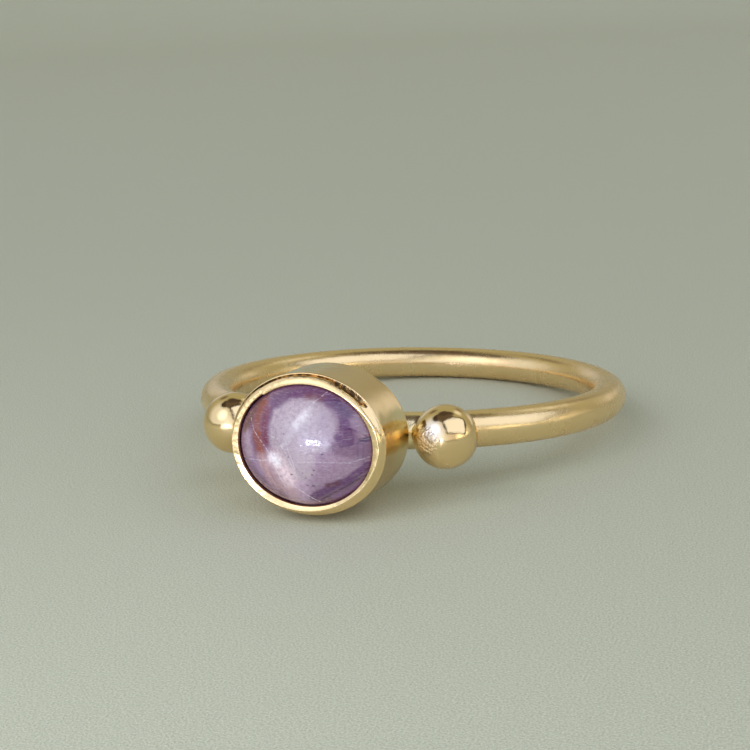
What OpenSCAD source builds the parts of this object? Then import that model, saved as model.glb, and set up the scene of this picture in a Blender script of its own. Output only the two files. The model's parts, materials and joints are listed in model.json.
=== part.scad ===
// Cabochon ring, lying on its side. An oval star stone sits in a plain cup, and a
// round bead is soldered to the band on each side of the cup. The ring rests on
// the back of the band and on the lower back edge of the cup.

/* [Band] */
// Inside diameter of the band
finger_d = 17.2; // [14:0.1:22]
// Thickness of the round wire that the band is bent from
wire_d = 1.6; // [1.2:0.05:2.6]

/* [Stone] */
// Length of the stone at its girdle, along the band
stone_l = 6; // [4:0.1:9]
// Width of the stone at its girdle, across the band
stone_w = 5.1; // [3.6:0.05:8]
// Height of the dome above the girdle
dome_h = 1.6; // [1.2:0.05:3]
// Height of the straight edge at the girdle
girdle_h = 0.4; // [0.2:0.05:0.8]
// How far the belly draws in all round, from the girdle to the flat base
belly_in = 0.45; // [0.1:0.05:0.8]

/* [Cup] */
// Height of the cup, from its back to the top of its rim
cup_h = 3.1; // [2.6:0.1:5]
// Thickness of the cup wall beside the girdle
cup_wall = 0.36; // [0.25:0.01:0.8]
// Thickness of the closed back
cup_floor = 0.5; // [0.4:0.05:0.8]
// How far the rim is folded up over the stone, above the girdle
rim_fold = 0.55; // [0.2:0.05:0.6]
// How far the face of the rim falls away towards the outside
rim_fall = 0.28; // [0.1:0.02:0.5]
// Width of the flat land beside the opening
rim_land = 0.05; // [0.02:0.01:0.1]
// How deep the back of the cup is let into the wire
cup_seat = 0.15; // [0.05:0.05:0.35]

/* [Beads] */
// Diameter of the bead on each side
bead_d = 2.7; // [1.8:0.1:4]
// How deep a bead is fused into the wire
bead_seat = 0.75; // [0.3:0.05:1]

/* [Fits] */
// Gap all round between the stone and its cup
stone_gap = 0.04; // [0.02:0.01:0.1]
// Slit between a bead and the cup
bead_gap = 0.1; // [0.05:0.01:0.4]

/* [Hidden] */
$fn = 144;
gold = "#c9a86a";
lilac = "#8d6f9c";
wire_r = wire_d / 2;
bead_r = bead_d / 2;
// Radius of the circle that the middle of the wire follows
band_r = finger_d / 2 + wire_r;
// Distance from the middle of the band to the back of the cup
seat_y = band_r + wire_r - cup_seat;
// Outer size of the cup, which closes round the stone
cup_l = stone_l + 2 * (stone_gap + cup_wall);
cup_w = stone_w + 2 * (stone_gap + cup_wall);
// Height of the girdle's upper edge above the back of the cup
girdle_z = cup_h - rim_fold;
// Share of the girdle's size that is left where the rim ends on the dome
dome_share = sqrt(1 - pow(rim_fold / (dome_h + stone_gap), 2));
// Width of the rim's top, which reaches past the opening on every side
opening_l = (stone_l + 2 * stone_gap) * dome_share;
opening_w = (stone_w + 2 * stone_gap) * dome_share;
rim_top_w = max(opening_w, opening_l * cup_w / cup_l) + 2 * rim_land;
// Places of the beads, clear of the cup and fused to the wire
bead_x = cup_l / 2 + bead_gap + bead_r;
bead_y = sqrt(pow(band_r + bead_r + wire_r - bead_seat, 2) - pow(bead_x, 2));
// Angle at which the ring lies, so that the back of the wire and the lower
// edge of the cup's back both touch the surface
reach = seat_y + band_r;
lie = acos(wire_r / norm([reach, cup_w / 2])) - atan2(reach, cup_w / 2);
// Height of the middle of the band above the surface
band_z = band_r * sin(lie) + wire_r;
// Reach of the dome and of the band from the middle of the band as it lies
front_y = (seat_y + girdle_z) * cos(lie) + norm([dome_h * cos(lie), stone_w / 2 * sin(lie)]);
back_y = band_r * cos(lie) + wire_r;

// Lays down what is built round Z, with the origin below the middle of its box
module lying() {
    translate([0, (front_y - back_y) / 2, band_z]) rotate([-lie, 0, 0]) children();
}

// Turns what is built upwards so that it faces out from the front of the band
module at_front() {
    translate([0, -seat_y, 0]) rotate([90, 0, 0]) children();
}

// Oval block of length l and width w between two heights, w_top wide at its top
module oval(l, w, from, to, w_top) {
    translate([0, 0, from]) scale([l / w, 1, 1]) cylinder(d1 = w, d2 = w_top, h = to - from);
}

// Half ellipsoid of the dome above the girdle, grown by a gap
module dome(gap) {
    l = stone_l + 2 * gap;
    w = stone_w + 2 * gap;
    h = dome_h + gap;
    translate([0, 0, girdle_z]) intersection() {
        scale([l / 2, w / 2, h]) sphere(1);
        translate([-l, -w, 0]) cube([2 * l, 2 * w, 2 * h]);
    }
}

// Band of round wire
module band() {
    rotate_extrude() translate([band_r, 0]) circle(wire_r);
}

// Round bead on each side of the cup
module beads() {
    for (side = [-1, 1]) translate([side * bead_x, -bead_y, 0]) sphere(bead_r);
}

// Straight oval wall with a rim whose face falls away outwards
module cup_outside() {
    oval(cup_l, cup_w, 0, cup_h - rim_fall, cup_w);
    oval(cup_l, cup_w, cup_h - rim_fall, cup_h, rim_top_w);
}

// Room for the stone above the closed back, held in by the folded rim
module cup_inside() {
    l = stone_l + 2 * stone_gap;
    w = stone_w + 2 * stone_gap;
    oval(l, w, cup_floor, girdle_z, w);
    dome(stone_gap);
}

// Band, cup and beads, soldered into one piece of metal
module ring_mount() {
    color(gold) lying() {
        band();
        beads();
        at_front() difference() {
            cup_outside();
            cup_inside();
        }
    }
}

// Oval stone with a smooth dome, a straight girdle and a tapered belly
module cabochon() {
    belly_top = girdle_z - girdle_h;
    base_w = stone_w - 2 * belly_in;
    color(lilac) lying() at_front() {
        dome(0);
        oval(stone_l, stone_w, belly_top, girdle_z, stone_w);
        oval(stone_l * base_w / stone_w, base_w, cup_floor + stone_gap, belly_top, stone_w);
    }
}

ring_mount();
cabochon();
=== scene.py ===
import json
import math

import bmesh
import bpy
import numpy as np
from mathutils import Matrix, Quaternion, Vector, noise


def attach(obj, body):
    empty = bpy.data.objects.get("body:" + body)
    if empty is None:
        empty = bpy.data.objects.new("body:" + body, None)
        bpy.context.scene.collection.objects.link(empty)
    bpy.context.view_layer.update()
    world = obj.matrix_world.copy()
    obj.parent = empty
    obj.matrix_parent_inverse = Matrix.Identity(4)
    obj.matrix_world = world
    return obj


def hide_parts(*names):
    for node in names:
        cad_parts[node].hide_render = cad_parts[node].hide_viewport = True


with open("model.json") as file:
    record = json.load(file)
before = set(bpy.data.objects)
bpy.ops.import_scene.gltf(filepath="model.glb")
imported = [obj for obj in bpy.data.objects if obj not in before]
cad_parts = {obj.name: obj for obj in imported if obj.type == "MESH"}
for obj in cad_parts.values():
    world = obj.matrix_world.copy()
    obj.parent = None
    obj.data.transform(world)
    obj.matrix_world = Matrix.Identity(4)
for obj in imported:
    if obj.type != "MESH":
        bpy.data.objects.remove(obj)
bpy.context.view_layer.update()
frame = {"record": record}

# A gold ring lies on its side on a pale sheet of paper. An oval star corundum is held in
# a closed cup by a rim burnished over its edge, and a round bead is soldered to the wire
# on each side of the cup. Shapes are worked out in millimetres and then turned to metres.

MM = 0.001

# The finger hole gives the middle of the band, the lean of its axis and the wire
HOLE = frame["record"]["mounts"][0]
CENTRE = np.array(HOLE["pos_m"]) / MM
LIE = math.atan2(HOLE["axis"][1], HOLE["axis"][2])
WIRE_R = HOLE["dims"]["length_mm"] / 2
BAND_R = HOLE["dims"]["r_mm"] + WIRE_R

# Stone: its girdle is an oval, and the dome above it is half an ellipsoid
STONE_L, STONE_W = 6.0, 5.1
DOME_H, GIRDLE_H, BELLY_IN = 1.6, 0.4, 0.45

# Cup: straight oval wall, closed back, and a rim folded over the stone
CUP_H, CUP_WALL, CUP_FLOOR = 3.1, 0.36, 0.5
RIM_FOLD, RIM_FALL = 0.55, 0.28
STONE_GAP, CUP_SEAT = 0.04, 0.15
BACK_EDGE_R = 0.14
GIRDLE_Z = CUP_H - RIM_FOLD
CUP_L = STONE_L + 2 * (STONE_GAP + CUP_WALL)
CUP_W = STONE_W + 2 * (STONE_GAP + CUP_WALL)
SEAT_Y = BAND_R + WIRE_R - CUP_SEAT
DOME_SHARE = math.sqrt(1 - (RIM_FOLD / (DOME_H + STONE_GAP)) ** 2)

# Beads: clear of the cup by a slit and fused to the wire
BEAD_R, BEAD_SEAT, BEAD_SLIT = 1.35, 0.75, 0.1
BEAD_X = CUP_L / 2 + BEAD_SLIT + BEAD_R
BEAD_Y = math.sqrt((BAND_R + BEAD_R + WIRE_R - BEAD_SEAT) ** 2 - BEAD_X ** 2)


def lay_down(points):
    """Ring frame, with the finger's axis along Z and the stone facing -Y, to the frame of the part."""
    x, y, z = points.T
    laid = [x, y * math.cos(LIE) + z * math.sin(LIE), z * math.cos(LIE) - y * math.sin(LIE)]
    return np.stack(laid, 1) + CENTRE


def at_front(points):
    """Head frame, with Z out of the stone and the back of the cup at zero, to the ring frame."""
    x, y, z = points.T
    return np.stack([x, -SEAT_Y - z, y], 1)


# Middles of the left and the right bead, and of the cup's back, in the frame of the part
BEADS = lay_down(np.array([[-BEAD_X, -BEAD_Y, 0.0], [BEAD_X, -BEAD_Y, 0.0]]))
SEAT = lay_down(np.array([[0.0, -SEAT_Y, 0.0]]))[0]


def smooth_mesh(name, points, faces, material):
    """A mesh from points in the frame of the part, in millimetres."""
    mesh = bpy.data.meshes.new(name)
    mesh.from_pydata((np.array(points) * MM).tolist(), [], faces)
    mesh.materials.append(material)
    mesh.shade_smooth()
    obj = bpy.data.objects.new(name, mesh)
    bpy.context.scene.collection.objects.link(obj)
    return obj


def piece(name, points, faces, replaced, material):
    """A piece of the ring, which stands for a solid of the part."""
    obj = smooth_mesh(name, points, faces, material)
    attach(obj, "root")
    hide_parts(replaced)
    return obj


def between_loops(count, around):
    """Faces between loops of points that follow one another in a list."""
    faces = []
    for i in range(count - 1):
        low, high = i * around, (i + 1) * around
        for j in range(around):
            k = (j + 1) % around
            faces.append((low + j, low + k, high + k, high + j))
    return faces


def closed_skin(loops, first, last):
    """Points and faces of a skin through loops of points, closed round a point at each end."""
    around = len(loops[0])
    points = np.concatenate(loops + [[first], [last]])
    faces = between_loops(len(loops), around)
    first_at, last_at = len(points) - 2, len(points) - 1
    top = (len(loops) - 1) * around
    for j in range(around):
        k = (j + 1) % around
        faces.append((first_at, k, j))
        faces.append((last_at, top + j, top + k))
    return points, faces


def bumps(points, size, seed):
    """Smooth noise from -1 to 1 at each point, with lumps of about the given size."""
    shift = Vector((seed * 7.3, seed * 3.1, seed * 5.7))
    return np.array([noise.noise(Vector(p) / size + shift) for p in points])


def smooth_step(value, low, high):
    """0 below the low value and 1 above the high one, with a soft ramp between them."""
    t = np.clip((value - low) / (high - low), 0, 1)
    return t * t * (3 - 2 * t)


# Colours and nodes

def rgb(code):
    """sRGB hex to linear colour."""
    shares = [int(code[i:i + 2], 16) / 255 for i in (1, 3, 5)]
    linear = [c / 12.92 if c <= 0.04045 else ((c + 0.055) / 1.055) ** 2.4 for c in shares]
    return (*linear, 1.0)


def add(tree, kind, inputs=None, out=None, **settings):
    """Adds a node with its settings, and feeds its inputs with values or with outputs of others.
    It gives the output that is asked for, or else the first one in use."""
    node = tree.nodes.new(kind)
    for name, value in settings.items():
        setattr(node, name, value)
    for name, value in (inputs or {}).items():
        if isinstance(value, bpy.types.NodeSocket):
            tree.links.new(value, node.inputs[name])
        else:
            node.inputs[name].default_value = value
    if out is not None:
        return node.outputs[out]
    return next((output for output in node.outputs if output.enabled), None)


def new_material(name):
    material = bpy.data.materials.new(name)
    material.use_nodes = True
    material.node_tree.nodes.clear()
    return material, material.node_tree


def part_place(tree):
    """Place on the part, in millimetres."""
    place = add(tree, "ShaderNodeTexCoord", out="Object")
    return add(tree, "ShaderNodeVectorMath", {0: place, "Scale": 1 / MM}, operation="SCALE")


def head_place(tree):
    """Place on the head in millimetres: X along the band, Y up across it, Z out of the stone."""
    place = add(tree, "ShaderNodeTexCoord", out="Object")
    return add(tree, "ShaderNodeMapping", {
        "Vector": place, "Location": tuple(SEAT * MM), "Rotation": (math.pi / 2 - LIE, 0, 0),
        "Scale": (MM, MM, MM)}, vector_type="TEXTURE")


def near(tree, place, point, inner, outer, full=1.0):
    """Full close to a point, falling to 0 between two distances from it."""
    far = add(tree, "ShaderNodeVectorMath", {0: place, 1: tuple(point)}, operation="DISTANCE")
    return add(tree, "ShaderNodeMapRange", {
        "Value": far, "From Min": inner, "From Max": outer, "To Min": full, "To Max": 0.0},
        interpolation_type="SMOOTHSTEP")


def stroke(tree, place, start, end, width, soft, full=1.0):
    """Full along a straight stroke between two points of the head's plan, falling to 0 beside it."""
    to = Vector((end[0] - start[0], end[1] - start[1], 0))
    rel = add(tree, "ShaderNodeVectorMath", {0: place, 1: (*start, 0)}, operation="SUBTRACT")
    dot = add(tree, "ShaderNodeVectorMath", {0: rel, 1: tuple(to / to.length_squared)},
              operation="DOT_PRODUCT")
    along = add(tree, "ShaderNodeClamp", {"Value": dot})
    foot = add(tree, "ShaderNodeVectorMath", {0: tuple(to), "Scale": along}, operation="SCALE")
    far = add(tree, "ShaderNodeVectorMath", {0: rel, 1: foot}, operation="DISTANCE")
    return add(tree, "ShaderNodeMapRange", {
        "Value": far, "From Min": max(width / 2 - soft, 0), "From Max": width / 2 + soft,
        "To Min": full, "To Max": 0.0}, interpolation_type="SMOOTHSTEP")


def highest(tree, masks):
    """One mask from several: the highest of them at each place."""
    whole = masks[0]
    for mask in masks[1:]:
        whole = add(tree, "ShaderNodeMath", {0: whole, 1: mask}, operation="MAXIMUM")
    return whole


def trace(tree, place, points, width, soft, full=1.0):
    """Full along a line through several points of the head's plan, falling to 0 beside it."""
    return highest(tree, [stroke(tree, place, start, end, width, soft, full)
                          for start, end in zip(points, points[1:])])


# Gold

GOLD_WARM, GOLD_PALE, SOLDER = "#f4d196", "#f9dda8", "#ffe9b6"
SKIN_HIGHLIGHT, PORE_DIRT, WAX, GAP_SHADE = "#fffaf6", "#7a6040", "#4c3720", "#1f160d"

# Widths in millimetres: clouds of tone, dents, hair scratches, worn patches, casting skin, its
# pores and the grit in them, and patches of wax. Then the depths of those that are hollow
TONE, DENT, HAIR, WEAR, PEEL, PORE, GRIT, WAX_PATCH = 1.6, 0.5, 0.03, 0.9, 0.3, 0.13, 0.09, 0.14
DENT_DEPTH, HAIR_DEPTH, PEEL_DEPTH, PORE_DEPTH = 0.012, 0.0015, 0.05, 0.08

# Polishing wax in the crease of the rim: angle of its middle, cosine of half its reach, and its
# distance from the stone's middle and half its width, both as shares of the way to the wall
WAX_LINES = ((112, 0.60, 0.9755, 0.0085), (158, 0.76, 0.970, 0.016), (56, 0.963, 0.953, 0.032))


def worn_gold(name, rough_low, rough_high, own_marks):
    """14 carat yellow gold, cast and wheel polished, then worn: mirror bright, but every
    reflection wavers over soft dents and is veiled by hair scratches."""
    material, tree = new_material(name)
    place = part_place(tree)

    # Slight warmth and paleness from place to place, as alloyed gold has
    tone = add(tree, "ShaderNodeTexNoise", {"Vector": place, "Scale": 1 / TONE, "Detail": 3.0})
    colour = add(tree, "ShaderNodeMix", {"Factor": tone, "A": rgb(GOLD_WARM), "B": rgb(GOLD_PALE)},
                 data_type="RGBA")

    # Soft dents from handling
    dents = add(tree, "ShaderNodeTexNoise", {"Vector": place, "Scale": 1 / DENT, "Detail": 2.0})
    normal = add(tree, "ShaderNodeBump", {"Height": dents, "Distance": DENT_DEPTH * MM})

    # Hair scratches: two sets of drawn-out noise that cross at an angle
    hairs = []
    for turn, seed in (((0.3, 0.5, 0.9), 3000.0), ((1.2, -0.6, 0.2), 8000.0)):
        drawn = add(tree, "ShaderNodeMapping", {
            "Vector": place, "Rotation": turn, "Scale": (1.0, 0.05, 1.0)})
        hairs.append(add(tree, "ShaderNodeTexNoise", {
            "Vector": drawn, "W": seed, "Scale": 1 / HAIR, "Detail": 2.0}, noise_dimensions="4D"))
    scratches = add(tree, "ShaderNodeMath", {0: hairs[0], 1: hairs[1]}, operation="ADD")
    normal = add(tree, "ShaderNodeBump", {
        "Height": scratches, "Distance": HAIR_DEPTH * MM, "Normal": normal})

    # Worn patches are a little duller than the rest
    wear = add(tree, "ShaderNodeTexNoise", {"Vector": place, "Scale": 1 / WEAR, "Detail": 5.0})
    rough = add(tree, "ShaderNodeMapRange", {
        "Value": wear, "From Min": 0.35, "From Max": 0.7, "To Min": rough_low, "To Max": rough_high})

    colour, rough, normal = own_marks(tree, colour, rough, normal)
    skin = add(tree, "ShaderNodeBsdfPrincipled", {
        "Base Color": colour, "Metallic": 1.0, "Roughness": rough, "Normal": normal})
    add(tree, "ShaderNodeOutputMaterial", {"Surface": skin})
    return material


def bead_marks(tree, colour, rough, normal):
    """Satin wire between polished beads, solder beside the cup and casting skin on one bead, with a
    painted highlight.
    """
    place = part_place(tree)

    # The beads keep their polish, and the wire between them is rubbed satin by wear
    kept = highest(tree, [near(tree, place, bead, BEAD_R + 0.05, BEAD_R + 0.4) for bead in BEADS])
    satin = add(tree, "ShaderNodeMapRange", {"Value": kept, "To Min": 0.16, "To Max": 0.0})
    rough = add(tree, "ShaderNodeMath", {0: satin, 1: rough}, operation="ADD")

    # Solder is paler than the alloy, and has run over the side of each bead beside the cup
    for side, bead in zip((-1, 1), BEADS):
        run = near(tree, place, bead - (side * BEAD_R, 0, 0), 0.6, 1.5)
        colour = add(tree, "ShaderNodeMix", {"Factor": run, "A": colour, "B": rgb(SOLDER)},
                     data_type="RGBA")

    # The wheel missed the side of the right bead beside the cup: casting skin like orange peel ...
    right = BEADS[1]
    patch = near(tree, place, right + BEAD_R * np.array([-0.45, -0.70, -0.50]), 0.5, 1.7)
    peel = add(tree, "ShaderNodeTexNoise", {"Vector": place, "Scale": 1 / PEEL, "Detail": 2.0})
    peel = add(tree, "ShaderNodeMath", {0: peel, 1: patch}, operation="MULTIPLY")
    normal = add(tree, "ShaderNodeBump", {
        "Height": peel, "Distance": PEEL_DEPTH * MM, "Normal": normal})
    rough = add(tree, "ShaderNodeMath", {0: patch, 1: 0.20, 2: rough}, operation="MULTIPLY_ADD")

    # ... with pores in its middle, a painted highlight in near white above them, and residue in the
    # deepest
    patch = near(tree, place, right + BEAD_R * np.array([-0.36, -0.93, 0.10]), 0.25, 0.72)
    cells = add(tree, "ShaderNodeTexVoronoi", {"Vector": place, "Scale": 1 / PORE})
    grit = add(tree, "ShaderNodeTexNoise", {"Vector": place, "Scale": 1 / GRIT, "Detail": 4.0})
    pores = add(tree, "ShaderNodeMath", {0: cells, 1: grit}, operation="ADD")
    pores = add(tree, "ShaderNodeMath", {0: pores, 1: patch}, operation="MULTIPLY")
    normal = add(tree, "ShaderNodeBump", {
        "Height": pores, "Distance": PORE_DEPTH * MM, "Normal": normal})
    rough = add(tree, "ShaderNodeMath", {0: patch, 1: 0.24, 2: rough}, operation="MULTIPLY_ADD")
    # Painted highlight: the gold is turned near white above the pores
    skin_highlight = near(tree, place, right + BEAD_R * np.array([-0.15, -0.87, 0.45]), 0.1, 0.7, full=0.7)
    colour = add(tree, "ShaderNodeMix", {"Factor": skin_highlight, "A": colour, "B": rgb(SKIN_HIGHLIGHT)},
                 data_type="RGBA")
    sunk = add(tree, "ShaderNodeMapRange", {
        "Value": grit, "From Min": 0.44, "From Max": 0.34, "To Max": 0.6})
    sunk = add(tree, "ShaderNodeMath", {0: sunk, 1: patch}, operation="MULTIPLY")
    colour = add(tree, "ShaderNodeMix", {"Factor": sunk, "A": colour, "B": rgb(PORE_DIRT)},
                 data_type="RGBA")
    return colour, rough, normal


def rim_marks(tree, colour, rough, normal):
    """Brown wax in the crease of the rim, solder beside the beads and painted shade round the stone."""
    head = head_place(tree)
    height = add(tree, "ShaderNodeSeparateXYZ", {"Vector": head}, out="Z")
    plan = add(tree, "ShaderNodeVectorMath", {0: head, 1: (2 / CUP_L, 2 / CUP_W, 0)},
               operation="MULTIPLY")
    way = add(tree, "ShaderNodeVectorMath", {0: plan}, operation="NORMALIZE")
    share = add(tree, "ShaderNodeVectorMath", {0: plan}, operation="LENGTH")

    # Wax from the polishing wheel, dull and patchy, over the top of the stone
    lines = []
    for angle, reach, middle, half in WAX_LINES:
        a = math.radians(angle)
        over = add(tree, "ShaderNodeVectorMath", {0: way, 1: (math.cos(a), math.sin(a), 0)},
                   operation="DOT_PRODUCT")
        over = add(tree, "ShaderNodeMapRange", {
            "Value": over, "From Min": reach, "From Max": reach + 0.015})
        off = add(tree, "ShaderNodeMath", {0: share, 1: middle}, operation="SUBTRACT")
        off = add(tree, "ShaderNodeMath", {0: off}, operation="ABSOLUTE")
        line = add(tree, "ShaderNodeMapRange", {
            "Value": off, "From Min": half, "From Max": half - 0.004})
        lines.append(add(tree, "ShaderNodeMath", {0: line, 1: over}, operation="MULTIPLY"))
    high = add(tree, "ShaderNodeMapRange", {"Value": height, "From Min": 2.4, "From Max": 2.5})
    wax = add(tree, "ShaderNodeMath", {0: highest(tree, lines), 1: high}, operation="MULTIPLY")
    patchy = add(tree, "ShaderNodeTexNoise", {"Vector": head, "Scale": 1 / WAX_PATCH, "Detail": 4.0})
    patchy = add(tree, "ShaderNodeMapRange", {
        "Value": patchy, "From Min": 0.36, "From Max": 0.54, "To Min": 0.3})
    wax = add(tree, "ShaderNodeMath", {0: wax, 1: patchy}, operation="MULTIPLY")
    rough = add(tree, "ShaderNodeMath", {0: wax, 1: 0.35, 2: rough}, operation="MULTIPLY_ADD")
    wax = add(tree, "ShaderNodeMath", {0: wax, 1: 0.9}, operation="MULTIPLY")
    colour = add(tree, "ShaderNodeMix", {"Factor": wax, "A": colour, "B": rgb(WAX)},
                 data_type="RGBA")

    # The wheel can't reach the wall beside a bead, which is a little duller and pale with solder
    for side in (-1, 1):
        missed = near(tree, head, (side * CUP_L / 2, 0.1, 1.3), 0.5, 1.2)
        rough = add(tree, "ShaderNodeMath", {0: missed, 1: 0.04, 2: rough}, operation="MULTIPLY_ADD")
        run = near(tree, head, (side * CUP_L / 2, 0.1, 0.6), 0.9, 1.6)
        colour = add(tree, "ShaderNodeMix", {"Factor": run, "A": colour, "B": rgb(SOLDER)},
                     data_type="RGBA")

    # Painted shade under the lip, all round the stone: the wall inside is darkened there
    under = add(tree, "ShaderNodeMapRange", {"Value": height, "From Min": 2.92, "From Max": 2.87})
    above = add(tree, "ShaderNodeMapRange", {"Value": height, "From Min": 0.30, "From Max": 0.35})
    within = add(tree, "ShaderNodeMapRange", {"Value": share, "From Min": 0.905, "From Max": 0.895})
    darkening = add(tree, "ShaderNodeMath", {0: under, 1: above}, operation="MULTIPLY")
    darkening = add(tree, "ShaderNodeMath", {0: darkening, 1: within}, operation="MULTIPLY")
    colour = add(tree, "ShaderNodeMix", {"Factor": darkening, "A": colour, "B": rgb(GAP_SHADE)},
                 data_type="RGBA")
    return colour, rough, normal


# Marks in the stone seen through its dome, with the painted star, highlights and shade among them:
# colour, strength, width, softness, and the points of a line on the plan of the head, in millimetres
STONE_MARKS = (
    # clearer greyish body below the middle and at the right
    ("#aa90a1", 0.85, 1.5, 0.35, (0.2, -1.2), (1.0, -0.7), (1.9, -0.45)),
    ("#c8acc0", 0.95, 1.0, 0.35, (0.3, -0.4), (0.1, -1.1), (-0.05, -2.0)),
    ("#8f7484", 0.85, 0.36, 0.12, (2.25, 1.42), (2.6, 0.75)),
    ("#6e4866", 0.80, 0.5, 0.15, (1.65, 0.15), (2.35, 0.0)),
    # milky silk
    ("#bcabae", 0.90, 1.12, 0.15, (-0.6, 0.5), (-0.56, 1.2), (-0.3, 1.44), (0.3, 1.5), (0.8, 1.4),
     (1.12, 1.05), (0.95, 0.55), (0.4, 0.3), (0.2, -0.7), (-0.2, 0.2), (-0.2, 0.9), (0.6, 0.9)),
    ("#beb3b9", 0.60, 0.7, 0.45, (-0.2, 0.9), (0.9, 1.25)),
    ("#a08a9e", 0.50, 0.6, 0.3, (1.2, 1.35), (1.4, 0.6)),
    # painted highlight: a pale halo round the low lamp's glare on the dome
    ("#cfc5d2", 0.45, 0.3, 0.4, (0.5, 0.4), (1.2, 0.38)),
    # dark violet zone under the upper edge, brown in its middle
    ("#684064", 0.90, 0.55, 0.15, (-1.0, 1.85), (-0.4, 2.3), (0.5, 2.32), (1.2, 2.1), (2.0, 1.55)),
    ("#85594f", 0.60, 0.2, 0.12, (0.25, 2.1), (0.9, 2.05)),
    ("#4e2854", 0.90, 0.3, 0.12, (1.4, 1.95), (1.75, 1.7), (2.0, 1.4)),
    # wedge and blob on the right
    ("#5a2a5a", 1.00, 0.30, 0.05, (1.90, 1.22), (1.98, 0.80), (1.86, 0.50)),
    ("#5a2a5a", 1.00, 0.30, 0.05, (1.98, 1.1), (2.12, 0.8), (2.2, 0.45)),
    ("#5f3462", 0.95, 0.24, 0.05, (1.74, 0.62), (1.85, 0.40), (2.2, 0.36)),
    ("#3a1452", 1.00, 0.18, 0.05, (2.56, 0.46), (2.85, 0.46)),
    ("#4f3358", 0.70, 0.05, 0.04, (1.85, 0.22), (2.2, 0.27), (2.5, 0.38)),
    ("#5a4066", 0.50, 0.04, 0.03, (2.45, 0.33), (2.48, -0.35)),
    ("#5a4066", 0.50, 0.04, 0.03, (2.64, 0.31), (2.63, -0.5)),
    # straight growth bands at the lower right
    ("#5c2464", 0.95, 0.3, 0.06, (0.54, -2.0), (1.3, -1.55), (2.1, -1.15), (2.75, -0.6)),
    ("#5f273c", 0.90, 0.22, 0.06, (1.25, -1.42), (1.7, -1.3)),
    ("#8c669a", 0.75, 0.16, 0.06, (1.32, -2.0), (1.95, -1.7), (2.45, -1.36)),
    ("#3f2141", 0.80, 0.08, 0.03, (0.83, -2.11), (1.83, -1.51), (2.68, -1.0)),
    ("#452a52", 0.50, 0.05, 0.03, (0.7, -1.92), (1.6, -1.45), (2.7, -0.8)),
    # lilac, iron stained and magenta veils down the left, and painted shade by the rim there
    ("#bb9fac", 0.90, 0.46, 0.2, (-2.36, 0.45), (-2.2, -0.35)),
    # painted shade: a brown band along the left edge, under the rim
    ("#6e4632", 0.90, 0.26, 0.1, (-2.46, 1.15), (-2.5, 0.55)),
    ("#4f3a4c", 0.85, 0.24, 0.1, (-2.1, 1.5), (-1.6, 1.95)),
    ("#704536", 0.85, 0.4, 0.2, (-1.95, 1.6), (-2.2, 1.1), (-2.3, 0.8)),
    ("#653a60", 0.80, 0.2, 0.1, (-0.85, 1.95), (-1.14, 1.6), (-1.18, 1.2)),
    ("#904220", 1.00, 0.46, 0.2, (-1.62, 1.65), (-1.78, 1.1), (-1.74, 0.4), (-1.58, -0.1)),
    ("#7f412c", 0.65, 0.08, 0.05, (-1.68, 1.55), (-1.84, 0.9)),
    ("#741c38", 1.00, 0.28, 0.15, (-1.37, 1.45), (-1.4, 0.9), (-1.33, 0.25)),
    ("#5f2446", 0.70, 0.05, 0.04, (-1.46, 1.3), (-1.5, 0.5)),
    ("#cba8a8", 0.90, 0.6, 0.25, (-1.55, -0.6), (-1.1, -1.35), (-0.3, -1.85)),
    ("#a488a6", 0.75, 0.26, 0.14, (-1.98, -0.6), (-1.65, -1.1)),
    ("#c4876c", 0.55, 0.035, 0.03, (-1.51, -0.09), (-1.35, -0.67), (-1.09, -1.21), (-0.85, -1.8)),
    ("#b9786a", 0.50, 0.03, 0.03, (-1.62, -0.3), (-1.5, -0.9), (-1.2, -1.45)),
    ("#85536c", 0.45, 0.03, 0.03, (-1.2, -0.75), (-1.0, -1.5)),
    # pinkish glow where the star crosses, fanned out to the lower right, and its upper arm
    ("#ffe4e2", 0.95, 0.46, 0.42, (-0.92, -0.4), (-0.6, -0.8), (-0.35, -1.2)),
    ("#fffafa", 1.00, 0.30, 0.24, (-0.95, -0.36), (-0.78, -0.5)),
    ("#dcd6da", 0.30, 0.12, 0.2, (-0.5, 0.2), (0.3, 1.3), (0.64, 1.89)),
    # painted highlight: the soft reflection of the bright glow ahead on the left, on that arm
    ("#eeeaea", 0.55, 0.12, 0.28, (0.08, 1.05), (0.38, 1.42)),
)

# Threads of light in the star and its fan: strength, then points as above
STAR_THREADS = (
    (0.75, (-0.83, -0.52), (-0.47, -1.0), (-0.18, -1.48), (0.19, -1.78), (0.58, -2.11), (0.82, -2.29)),
    (0.55, (-2.26, -0.6), (-1.49, -0.54), (-0.97, -0.4)),
    (0.42, (-2.18, 1.07), (-1.91, 0.6), (-1.45, 0.17), (-0.96, -0.32)),
    (0.32, (0.13, -0.48), (0.82, -0.4), (1.61, -0.42), (2.16, -0.44), (2.51, -0.34), (2.82, -0.26)),
    (0.50, (0.64, 1.89), (1.02, 2.24)),
    (0.40, (-0.57, 0.18), (-0.22, -0.37), (-0.01, -0.96)),
    (0.35, (-0.29, 0.12), (-0.05, -0.53), (0.06, -1.14)),
    (0.40, (-0.75, 0.0), (-0.35, -0.75), (-0.2, -1.34)),
    (0.40, (-1.0, -0.5), (-0.75, -1.1), (-0.55, -1.6)),
    (0.30, (-1.2, 0.57), (-0.71, 0.41)),
    (0.12, (-0.44, 1.98), (-0.16, 1.97), (0.4, 2.03)),
)

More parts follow.
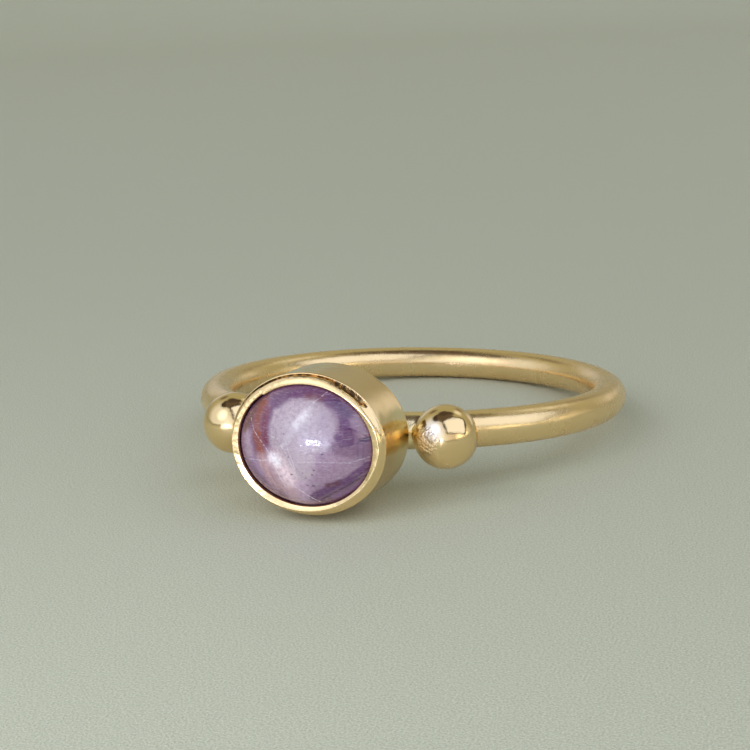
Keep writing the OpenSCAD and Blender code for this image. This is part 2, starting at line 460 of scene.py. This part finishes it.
# Pits left open by the polish: x, y, width
STONE_PITS = ((-0.2, -1.0, 0.06), (-0.28, -0.27, 0.04), (0.77, -0.76, 0.05), (0.68, -0.96, 0.05),
              (0.42, -1.43, 0.05), (0.65, -1.44, 0.06), (1.15, -0.09, 0.06), (-0.48, 0.64, 0.03),
              (0.56, -1.19, 0.03), (0.4, -1.11, 0.03), (0.9, -0.5, 0.03), (0.3, -0.9, 0.03))

# A mark with a crisper edge than this wanders less than the others
CRISP = 0.07

# Sizes in millimetres: lumps by which lines wander, clouds in the body, uneven edges of the marks,
# mottling, grain of the silk, its needles, and their open ends in the polish
WANDER, CLOUD, UNEVEN, MOTTLE, GRAIN, NEEDLE, PRICK = 0.4167, 0.7692, 0.1538, 0.2, 0.1111, 0.05, 0.07
THREAD_WIDTH, THREAD_SOFT, PIT_SOFT, GROOVE_DEPTH = 0.02, 0.032, 0.02, 0.004


def star_corundum():
    """Star corundum cut as a cabochon and polished: a glassy skin over a milky lilac body,
    clouded with silk, with violet growth zones, stained veils and a faint star. The star, its
    glows, two highlights and a band of shade by the rim are painted into its colour."""
    material, tree = new_material("polished_star_corundum")
    head = head_place(tree)

    # Everything inside the stone wanders a little, and its thin lines less than its clouds
    flat = add(tree, "ShaderNodeVectorMath", {0: head, 1: (1, 1, 0)}, operation="MULTIPLY")
    wander = add(tree, "ShaderNodeTexNoise", {
        "Vector": head, "Scale": 1 / WANDER, "Detail": 5.0, "Roughness": 0.6}, out="Color")
    wander = add(tree, "ShaderNodeVectorMath", {0: wander, 1: (0.5, 0.5, 0.5)},
                 operation="SUBTRACT")
    loose = add(tree, "ShaderNodeVectorMath", {0: wander, 1: (0.25, 0.25, 0), 2: flat},
                operation="MULTIPLY_ADD")
    steady = add(tree, "ShaderNodeVectorMath", {0: wander, 1: (0.09, 0.09, 0), 2: flat},
                 operation="MULTIPLY_ADD")

    # Violet body, clouded unevenly, with its zones, veils and bands, and the painted star, highlights and
    # shade
    cloud = add(tree, "ShaderNodeTexNoise", {
        "Vector": loose, "Scale": 1 / CLOUD, "Detail": 6.0, "Roughness": 0.65})
    cloud = add(tree, "ShaderNodeMapRange", {"Value": cloud, "From Min": 0.3, "From Max": 0.7})
    colour = add(tree, "ShaderNodeMix", {"Factor": cloud, "A": rgb("#8d6884"), "B": rgb("#6f4b6a")},
                 data_type="RGBA")
    uneven = add(tree, "ShaderNodeTexNoise", {
        "Vector": flat, "Scale": 1 / UNEVEN, "Detail": 6.0, "Roughness": 0.7})
    uneven = add(tree, "ShaderNodeMapRange", {
        "Value": uneven, "From Min": 0.3, "From Max": 0.58, "To Min": 0.4})
    for code, strength, width, soft, *points in STONE_MARKS:
        mark = trace(tree, steady if soft < CRISP else loose, points, width, soft, strength)
        mark = add(tree, "ShaderNodeMath", {0: mark, 1: uneven}, operation="MULTIPLY")
        colour = add(tree, "ShaderNodeMix", {"Factor": mark, "A": colour, "B": rgb(code)},
                     data_type="RGBA")
    mottle = add(tree, "ShaderNodeTexNoise", {
        "Vector": loose, "Scale": 1 / MOTTLE, "Detail": 5.0, "Roughness": 0.7})
    mottle = add(tree, "ShaderNodeMapRange", {
        "Value": mottle, "From Min": 0.5, "From Max": 0.8, "To Max": 0.5})
    colour = add(tree, "ShaderNodeMix", {"Factor": mottle, "A": colour, "B": rgb("#795c7b")},
                 data_type="RGBA")

    # Silk needles lie in three directions, 60 degrees apart
    needles = []
    for turn in (8, 68, 128):
        along = add(tree, "ShaderNodeMapping", {
            "Vector": loose, "Rotation": (0, 0, math.radians(turn)), "Scale": (0.12, 1.0, 1.0)})
        needle = add(tree, "ShaderNodeTexNoise", {"Vector": along, "Scale": 1 / NEEDLE, "Detail": 1.0})
        needles.append(add(tree, "ShaderNodeMapRange", {
            "Value": needle, "From Min": 0.62, "From Max": 0.78, "To Max": 0.22}))
    colour = add(tree, "ShaderNodeMix", {
        "Factor": highest(tree, needles), "A": colour, "B": rgb("#d9cfdc")}, data_type="RGBA")

    # The threads of light are broken by the grain of the silk
    grain = add(tree, "ShaderNodeTexNoise", {"Vector": flat, "Scale": 1 / GRAIN, "Detail": 4.0})
    broken = add(tree, "ShaderNodeMapRange", {
        "Value": grain, "From Min": 0.38, "From Max": 0.62, "To Max": 1.2})
    for strength, *points in STAR_THREADS:
        thread = trace(tree, steady, points, THREAD_WIDTH, THREAD_SOFT, strength)
        thread = add(tree, "ShaderNodeMath", {0: thread, 1: broken}, operation="MULTIPLY")
        colour = add(tree, "ShaderNodeMix", {"Factor": thread, "A": colour, "B": rgb("#f6ebee")},
                     data_type="RGBA")

    pits = highest(tree, [stroke(tree, flat, (x, y), (x + width, y), width, PIT_SOFT)
                          for x, y, width in STONE_PITS])
    # The pits are drawn darker
    darkening = add(tree, "ShaderNodeMath", {0: pits, 1: 0.75}, operation="MULTIPLY")
    colour = add(tree, "ShaderNodeMix", {"Factor": darkening, "A": colour, "B": rgb("#54405f")},
                 data_type="RGBA")

    # The polish follows shallow grooves, 0.25 mm long and 0.05 wide, that the silk leaves
    drawn = add(tree, "ShaderNodeMapping", {"Vector": head, "Scale": (1 / 0.25, 1 / 0.05, 1 / 0.25)})
    grooves = add(tree, "ShaderNodeTexNoise", {"Vector": drawn, "Scale": 1.0, "Detail": 3.0})
    low = add(tree, "ShaderNodeMapRange", {"Value": grooves, "From Min": 0.52, "From Max": 0.62})
    # ... and is pricked all over by tiny open ends of needles, between the larger pits
    pricks = add(tree, "ShaderNodeTexNoise", {"Vector": head, "Scale": 1 / PRICK, "Detail": 2.0})
    pricks = add(tree, "ShaderNodeMapRange", {"Value": pricks, "From Min": 0.56, "From Max": 0.68})
    low = add(tree, "ShaderNodeMath", {0: pricks, 1: 1.5, 2: low}, operation="MULTIPLY_ADD")
    low = add(tree, "ShaderNodeMath", {0: pits, 1: 2.0, 2: low}, operation="MULTIPLY_ADD")
    normal = add(tree, "ShaderNodeBump", {
        "Height": low, "Strength": 0.65, "Distance": GROOVE_DEPTH * MM}, invert=True)

    skin = add(tree, "ShaderNodeBsdfPrincipled", {
        "Base Color": colour, "Roughness": 0.05, "IOR": 1.77, "Normal": normal,
        "Subsurface Weight": 0.2, "Subsurface Radius": (1.0, 0.8, 1.0),
        "Subsurface Scale": 0.2 * MM})
    add(tree, "ShaderNodeOutputMaterial", {"Surface": skin})
    return material


FELT, FELT_DEPTH, WOOD_GRAIN = 0.08, 0.05, 33.0


def grey_paper():
    """Matt paper board with a felt side: a faint grain, and a slight sheen at a low angle. The
    real felt is finer, and is drawn as coarse as it needs to show."""
    material, tree = new_material("matt_paper_board")
    grain = add(tree, "ShaderNodeTexNoise", {
        "Vector": part_place(tree), "Scale": 1 / FELT, "Detail": 4.0})
    shade = add(tree, "ShaderNodeMapRange", {"Value": grain, "From Min": 0.25, "From Max": 0.75})
    colour = add(tree, "ShaderNodeMix", {"Factor": shade, "A": rgb("#a8ab92"), "B": rgb("#d5d7c0")},
                 data_type="RGBA")
    normal = add(tree, "ShaderNodeBump", {
        "Height": grain, "Strength": 0.7, "Distance": FELT_DEPTH * MM})
    skin = add(tree, "ShaderNodeBsdfPrincipled", {
        "Base Color": colour, "Roughness": 0.6, "Normal": normal})
    add(tree, "ShaderNodeOutputMaterial", {"Surface": skin})
    return material


def oiled_wood():
    """Dark wood rubbed with oil: brown, with a soft gloss and a broad grain."""
    material, tree = new_material("dark_oiled_wood")
    grain = add(tree, "ShaderNodeTexNoise", {
        "Vector": part_place(tree), "Scale": 1 / WOOD_GRAIN, "Detail": 4.0})
    colour = add(tree, "ShaderNodeMix", {"Factor": grain, "A": rgb("#2e2a22"), "B": rgb("#3a342a")},
                 data_type="RGBA")
    skin = add(tree, "ShaderNodeBsdfPrincipled", {"Base Color": colour, "Roughness": 0.5})
    add(tree, "ShaderNodeOutputMaterial", {"Surface": skin})
    return material


# Band and beads, one skin of metal with solder drawn into every corner

VOXEL = 0.075
BEAD_SOLDER, CUP_SOLDER = 0.22, 0.35
# A stub just inside the wall of the cup draws solder up round its back
STUB_INSET, STUB_H = 0.02, 0.9


def blend(a, b, k):
    """Smallest of two distances, rounded where they cross as solder rounds a corner."""
    h = np.clip(0.5 + 0.5 * (b - a) / k, 0, 1)
    return b + (a - b) * h - k * h * (1 - h)


def metal_distance(p):
    """Distance to the skin of band and beads, in the ring frame."""
    x, y, z = p.T
    wire = np.hypot(np.hypot(x, y) - BAND_R, z) - WIRE_R
    a, b = CUP_L / 2 - STUB_INSET, CUP_W / 2 - STUB_INSET
    share = np.maximum(np.hypot(x / a, z / b), 1e-6)
    side = (share - 1) * share / np.maximum(np.hypot(x / a ** 2, z / b ** 2), 1e-6)
    ends = np.abs(-y - SEAT_Y - STUB_H / 2) - STUB_H / 2 + STUB_INSET
    stub = np.minimum(np.maximum(side, ends), 0)
    stub = stub + np.hypot(np.maximum(side, 0), np.maximum(ends, 0))
    d = blend(wire, stub, CUP_SOLDER)
    beads = np.sqrt((np.abs(x) - BEAD_X) ** 2 + (y + BEAD_Y) ** 2 + z ** 2) - BEAD_R
    return np.where(np.abs(x) > CUP_L / 2 - 0.2, blend(d, beads, BEAD_SOLDER), d)


def slope(p, step=1e-3):
    """How the distance grows at each point, which is the outward direction of the skin."""
    moves = np.eye(3) * step
    growth = [metal_distance(p + move) - metal_distance(p - move) for move in moves]
    return np.stack(growth, 1) / (2 * step)


def rough_metal():
    """Ring of wire, two balls and a stub that run through one another."""
    rough = bmesh.new()
    around, across = 200, 24
    rings = []
    for i in range(around):
        u = 2 * math.pi * i / around
        ring = []
        for j in range(across):
            v = 2 * math.pi * j / across
            r = BAND_R + WIRE_R * math.cos(v)
            ring.append(rough.verts.new((r * math.cos(u), r * math.sin(u), WIRE_R * math.sin(v))))
        rings.append(ring)
    for i in range(around):
        a, b = rings[i], rings[(i + 1) % around]
        for j in range(across):
            k = (j + 1) % across
            rough.faces.new((a[j], b[j], b[k], a[k]))
    for side in (-1, 1):
        bmesh.ops.create_uvsphere(rough, u_segments=48, v_segments=24, radius=BEAD_R,
                                  matrix=Matrix.Translation((side * BEAD_X, -BEAD_Y, 0)))
    size = Matrix.Diagonal((CUP_L - 2 * STUB_INSET, CUP_W - 2 * STUB_INSET, STUB_H, 1))
    upright = Matrix.Rotation(math.pi / 2, 4, "X")
    bmesh.ops.create_cone(rough, cap_ends=True, segments=96, radius1=0.5, radius2=0.5, depth=1,
                          matrix=Matrix.Translation((0, -SEAT_Y - STUB_H / 2, 0)) @ upright @ size)
    mesh = bpy.data.meshes.new("rough_metal")
    rough.to_mesh(mesh)
    rough.free()
    return mesh


def band_and_beads(gold):
    """The rough metal gets one even skin, whose points are then drawn onto the soldered shape."""
    mesh = rough_metal()
    obj = bpy.data.objects.new("rough_metal", mesh)
    bpy.context.scene.collection.objects.link(obj)
    remesh = obj.modifiers.new("skin", "REMESH")
    remesh.mode = "VOXEL"
    remesh.voxel_size = VOXEL
    skin = obj.evaluated_get(bpy.context.evaluated_depsgraph_get()).to_mesh()
    p = np.zeros(len(skin.vertices) * 3)
    skin.vertices.foreach_get("co", p)
    p = p.reshape(-1, 3)
    faces = [tuple(face.vertices) for face in skin.polygons]
    bpy.data.objects.remove(obj)
    bpy.data.meshes.remove(mesh)
    for _ in range(6):
        g = slope(p)
        p = p - g * (metal_distance(p) / np.maximum((g * g).sum(1), 0.1))[:, None]
    normals = lay_down(slope(p)) - CENTRE
    normals /= np.linalg.norm(normals, axis=1)[:, None]
    obj = piece("band_and_beads", lay_down(p), faces, "ring_mount", gold)
    obj.data.normals_split_custom_set_from_vertices(normals.tolist())


# Cup and stone

# How the burnished rim changes round the stone: angle from the right going up over the top,
# depth and width of the crease that the tool left, how far the lip stands off the stone,
# height of the tool marks, where the crown lies between lip and wall, and how far the lip
# has sunk below it, in millimetres or shares
RIM_ROUND = (
    (0, 0.000, 0.06, 0.035, 0.003, 0.60, 0.05),
    (20, 0.004, 0.06, 0.03, 0.003, 0.48, 0.04),
    (36, 0.010, 0.08, 0.03, 0.003, 0.25, 0.03),
    (42, 0.200, 0.20, 0.03, 0.004, 0.15, 0.02),
    (58, 0.220, 0.19, 0.03, 0.004, 0.12, 0.02),
    (74, 0.140, 0.07, 0.035, 0.003, 0.12, 0.02),
    (100, 0.120, 0.07, 0.03, 0.003, 0.12, 0.02),
    (118, 0.160, 0.09, 0.025, 0.006, 0.20, 0.03),
    (128, 0.180, 0.095, 0.020, 0.006, 0.30, 0.01),
    (150, 0.170, 0.095, 0.040, 0.007, 0.45, 0.01),
    (185, 0.130, 0.11, 0.085, 0.006, 0.64, 0.02),
    (205, 0.020, 0.05, 0.100, 0.007, 0.64, 0.04),
    (235, 0.000, 0.06, 0.090, 0.008, 0.62, 0.08),
    (275, 0.000, 0.06, 0.065, 0.006, 0.45, 0.08),
    (310, 0.000, 0.06, 0.04, 0.006, 0.32, 0.06),
    (340, 0.000, 0.06, 0.035, 0.003, 0.42, 0.05),
    (360, 0.000, 0.06, 0.035, 0.003, 0.60, 0.05),
)
NOTCH_ANGLE, NOTCH_WIDTH, NOTCH_END, NOTCH_STEP = 127.0, 1.4, 190.0, 0.07
EDGE_R, LIP_DEPTH = 0.05, 0.26
# Share of the way from lip to wall where the crease ends, and the lip's curl over the stone
CREASE_END, CURL_SHARE, CURL_DEPTH = 0.895, 0.10, 0.10
WALL_WAVE, WAVE_LONG, MARK_LONG = 0.012, 1.1, 0.16
AROUND, WALL_ROWS = 640, 26


def oval(angle, length, width):
    return np.stack([length / 2 * np.cos(angle), width / 2 * np.sin(angle)], 1)


def rim_height(share, crease, width, crown, sunk):
    """Height of the rim over the top of the cup, at a share of the way out from lip to wall."""
    fall = RIM_FALL * np.clip((share - crown) / (1 - crown), 0, 1) ** 1.7
    sink = sunk * np.clip((crown - share) / crown, 0, 1) ** 1.2
    curl = CURL_DEPTH * np.clip(1 - share / CURL_SHARE, 0, 1) ** 2.6
    groove = crease * np.exp(-((share - CREASE_END + width) / width) ** 4)
    return -fall - sink - curl - groove


def cup(gold):
    """Swept round its oval from the closed back up the wall, over the rim and down inside."""
    angle = np.linspace(0, 2 * math.pi, AROUND, endpoint=False)
    turn = np.degrees(angle)
    turns, *columns = np.array(RIM_ROUND).T
    crease, width, lip_gap, marks, crown, sunk = (np.interp(turn, turns, c) for c in columns)
    outer = oval(angle, CUP_L, CUP_W)
    room = oval(angle, STONE_L + 2 * STONE_GAP, STONE_W + 2 * STONE_GAP)
    outward = np.stack([np.cos(angle) * CUP_W, np.sin(angle) * CUP_L], 1)
    outward /= np.linalg.norm(outward, axis=1)[:, None]
    # The rim was pushed over in strokes, and two of them don't meet: the lip steps back there
    step = smooth_step(turn, NOTCH_ANGLE, NOTCH_ANGLE + NOTCH_WIDTH)
    step = NOTCH_STEP * (step - smooth_step(turn, NOTCH_ANGLE + NOTCH_WIDTH, NOTCH_END))
    lip = room * DOME_SHARE + outward * (lip_gap + step)[:, None]
    loops = []

    def loop(plan, height):
        loops.append(np.column_stack([plan, np.broadcast_to(height, AROUND)]))

    # Back, its rounded edge and the wall, which is true only to a hair
    for share in (0.25, 0.5, 0.75):
        loop(outer * share, 0.0)
    for i in range(9):
        t = math.pi / 2 * i / 8
        loop(outer * (1 - BACK_EDGE_R / (CUP_W / 2) * (1 - math.sin(t))), BACK_EDGE_R * (1 - math.cos(t)))
    wall_top = CUP_H - RIM_FALL - EDGE_R
    for i in range(1, WALL_ROWS + 1):
        h = BACK_EDGE_R + (wall_top - BACK_EDGE_R) * i / WALL_ROWS
        wave = WALL_WAVE * min(1, (WALL_ROWS - i) / 5)
        lumps = bumps(np.column_stack([outer, np.full(AROUND, h)]), WAVE_LONG, 1)
        loop(outer + outward * (wave * (lumps - 1))[:, None], h)

    # Rounded top of the wall, then the rim from the wall to the lip, finest where it curls down
    for i in range(1, 5):
        t = math.pi / 2 * i / 4
        loop(outer - outward * EDGE_R * (1 - math.cos(t)), wall_top + EDGE_R * math.sin(t))
    for start, end, count in ((1 - EDGE_R / 0.5, 0.50, 34), (0.50, 0.14, 14), (0.14, 0, 11)):
        for share in np.linspace(start, end, count)[1:]:
            plan = lip + (outer - lip) * share
            strength = math.sin(math.pi * min(1, share * 1.1)) if share < 0.9 else 0.0
            dents = bumps(np.column_stack([plan, np.zeros(AROUND)]), MARK_LONG, 2) * marks * strength
            loop(plan, CUP_H + rim_height(share, crease, width, crown, sunk) + dents)

    # Inside: under the lip, the wall beside the girdle and the floor
    loop(lip, CUP_H - LIP_DEPTH)
    loop(room * (1 + DOME_SHARE) / 2 + outward * lip_gap[:, None] * 0.6, GIRDLE_Z + RIM_FOLD * 0.55)
    loop(room, GIRDLE_Z)
    loop(room, CUP_FLOOR)
    loop(room * 0.5, CUP_FLOOR)
    points, faces = closed_skin(loops, [0, 0, 0], [0, 0, CUP_FLOOR])
    piece("cup", lay_down(at_front(points)), faces, "ring_mount", gold)


def cabochon(stone):
    """The stone, turned round its oval from the flat base over the girdle to the top of the dome."""
    around, up = 240, 56
    angle = np.linspace(0, 2 * math.pi, around, endpoint=False)
    belly_top, base_z = GIRDLE_Z - GIRDLE_H, CUP_FLOOR + STONE_GAP
    base = 1 - 2 * BELLY_IN / STONE_W
    profile = [(base * 0.5, base_z), (base * 0.97, base_z), (base, base_z + 0.03)]
    for i in range(1, 7):
        profile.append((base + (1 - base) * i / 6, base_z + (belly_top - base_z) * i / 6))
    profile.append((1, belly_top + GIRDLE_H / 2))
    for i in range(up):
        t = math.pi / 2 * i / up
        profile.append((math.cos(t), GIRDLE_Z + DOME_H * math.sin(t)))
    girdle = oval(angle, STONE_L, STONE_W)
    loops = [np.column_stack([girdle * share, np.full(around, z)]) for share, z in profile]
    points, faces = closed_skin(loops, [0, 0, base_z], [0, 0, GIRDLE_Z + DOME_H])
    piece("star_cabochon", lay_down(at_front(points)), faces, "cabochon", stone)


# Table, lights and camera

FLAT_R, BOWL_R, BOWL_TOP = 400.0, 300.0, 60.0


def table(paper):
    """Flat sheet under the ring that curves up far behind it on every side."""
    around = 96
    angle = np.linspace(0, 2 * math.pi, around, endpoint=False)
    profile = [(r, 0.0) for r in (10, 25, 50, 90, 150, 250, FLAT_R)]
    for i in range(1, 13):
        t = math.acos(1 - BOWL_TOP / BOWL_R) * i / 12
        profile.append((FLAT_R + BOWL_R * math.sin(t), BOWL_R * (1 - math.cos(t))))
    points = [(r * math.cos(a), r * math.sin(a), z) for r, z in profile for a in angle]
    points.append((0, 0, 0))
    faces = [(len(points) - 1, j, (j + 1) % around) for j in range(around)]
    faces += [face[::-1] for face in between_loops(len(profile), around)]
    smooth_mesh("table", points, faces, paper)


def toward(azimuth, elevation):
    """Direction seen from the ring; azimuth 0 is the way the stone faces, 90 is +X."""
    a, e = math.radians(azimuth), math.radians(elevation)
    return Vector((math.sin(a) * math.cos(e), -math.cos(a) * math.cos(e), math.sin(e)))


def soft_light(name, azimuth, elevation, distance, size, colour, power, roll=0.0, aim=None):
    """A bright sheet that faces the ring, or a lamp that only lights the place it is aimed at."""
    data = bpy.data.lights.new(name, "AREA")
    data.shape = "RECTANGLE"
    data.size, data.size_y = size[0] * MM, size[1] * MM
    data.energy = power
    data.color = rgb(colour)[:3]
    lamp = bpy.data.objects.new(name, data)
    lamp.location = toward(azimuth, elevation) * distance * MM
    direction = lamp.location - Vector(aim or (0, 0, 0)) * MM
    lamp.rotation_mode = "QUATERNION"
    turn = Quaternion((0, 0, 1), math.radians(roll))
    lamp.rotation_quaternion = direction.to_track_quat("Z", "Y") @ turn
    lamp.visible_camera = False
    lamp.visible_glossy = aim is None
    bpy.context.scene.collection.objects.link(lamp)
    return lamp


def window_frame(lamp, width, height, wood):
    """Dark wood round the window, which draws a dark line round its reflections."""
    x, y, behind = width / 2, height / 2, 5
    corners = [(-x, -y, behind), (x, -y, behind), (x, y, behind), (-x, y, behind)]
    board = smooth_mesh("window_frame", corners, [(0, 1, 2, 3)], wood)
    board.location = lamp.location
    board.rotation_mode = "QUATERNION"
    board.rotation_quaternion = lamp.rotation_quaternion


def camera():
    """Seen from the right of the stone and a little above, close up."""
    back, roll, distance = toward(21.418, 15.241), -2.882, 72.412
    target = Vector((-1.914, CENTRE[1], 2.571)) * MM
    data = bpy.data.cameras.new("camera")
    data.sensor_width = 36.0
    # The focal length is 1483.06 pixels of a picture that is 750 wide
    data.lens = 1483.06 / 750 * data.sensor_width
    data.clip_start, data.clip_end = 1 * MM, 2.0
    cam = bpy.data.objects.new("camera", data)
    cam.location = target + back * distance * MM
    cam.rotation_mode = "QUATERNION"
    cam.rotation_quaternion = Quaternion(back, math.radians(roll)) @ (-back).to_track_quat("-Z", "Y")
    bpy.context.scene.collection.objects.link(cam)
    bpy.context.scene.camera = cam


# What the room sends back, laid one over another: azimuth and elevation as in toward(), how far
# from that direction a patch is full and how far it reaches, and its colour at half its light
ROOM_PATCHES = (
    # dull cards behind the ring, two on the right and one on the left
    (160, 6, 0.10, 0.30, "#a09f9c"),
    (158, 45, 0.07, 0.22, "#b0b2b4"),
    (-141, 9, 0.12, 0.35, "#94969a"),
    # bright side of the room, from the right over the front to the left, with one glow on the left
    (88, 5, 0.25, 0.80, "#b0aea2"),
    (10, 10, 0.40, 1.50, "#a5a2a0"),
    (-22, 8, 0.30, 1.05, "#c2cee2"),
    (-52, 36, 0.30, 0.90, "#a9afbb"),
    (-30, 38, 0.12, 0.42, "#f6f2ff"),
    # dark things behind on the left, overhead and behind on the right
    (-132, 40, 0.08, 0.20, "#55504a"),
    (-84, 68, 0.20, 0.30, "#2c2622"),
    (-150, 88, 0.34, 0.42, "#453d37"),
    (-150, 72, 0.18, 0.28, "#37302c"),
    (165, 66, 0.10, 0.20, "#37302c"),
    (174, 27, 0.06, 0.16, "#5c564c"),
    # warm white card low on the right
    (82, 9, 0.22, 0.52, "#f8f3e0"),
)
ROOM_WALL, ROOM_LOW, ROOM_LIGHT = "#7d7d69", "#737266", 2.1


def surroundings():
    """Light that the room sends back: khaki walls with bright and dark patches on them."""
    world = bpy.data.worlds.new("room")
    world.use_nodes = True
    bpy.context.scene.world = world
    tree = world.node_tree
    tree.nodes.clear()
    way = add(tree, "ShaderNodeTexCoord", out="Generated")
    height = add(tree, "ShaderNodeSeparateXYZ", {"Vector": way}, out="Z")
    low = add(tree, "ShaderNodeMapRange", {"Value": height, "From Min": 0.5, "From Max": 0.15})
    colour = add(tree, "ShaderNodeMix", {"Factor": low, "A": rgb(ROOM_WALL), "B": rgb(ROOM_LOW)},
                 data_type="RGBA")
    for azimuth, elevation, inner, outer, code in ROOM_PATCHES:
        patch = near(tree, way, toward(azimuth, elevation), inner, outer)
        colour = add(tree, "ShaderNodeMix", {"Factor": patch, "A": colour, "B": rgb(code)},
                     data_type="RGBA")
    light = add(tree, "ShaderNodeBackground", {"Color": colour, "Strength": ROOM_LIGHT})
    add(tree, "ShaderNodeOutputWorld", {"Surface": light})
    bpy.context.scene.view_settings.view_transform = "Standard"


camera()
band_and_beads(worn_gold("polished_14k_gold", 0.06, 0.15, bead_marks))
cup(worn_gold("satin_worn_14k_gold", 0.10, 0.22, rim_marks))
cabochon(star_corundum())
table(grey_paper())
surroundings()
# The window is the main light, and the table lamp lights the paper ahead, which the gold mirrors.
# The card and the low lamp with its shade stand ahead too, and show as glares in beads and stone.
window = soft_light("window", 74, 48, 900, (1150, 855), "#dbe4fb", 4.6, roll=-28)
window_frame(window, 1440, 1050, oiled_wood())
soft_light("table_lamp", 5, 26, 108, (130, 60), "#eef2ff", 0.040, aim=(8, -97, 0))
bounce_card = soft_light("bounce_card", -7, 4.3, 40, (27, 6), "#dae4ff", 0.00074)
bounce_card.visible_diffuse = False
soft_light("low_lamp", -5, 6, 120, (26, 12), "#dcd8ff", 0.016)
soft_light("low_lamp_shade", -3, 6, 122, (64, 14), "#dcd8ff", 0.007)
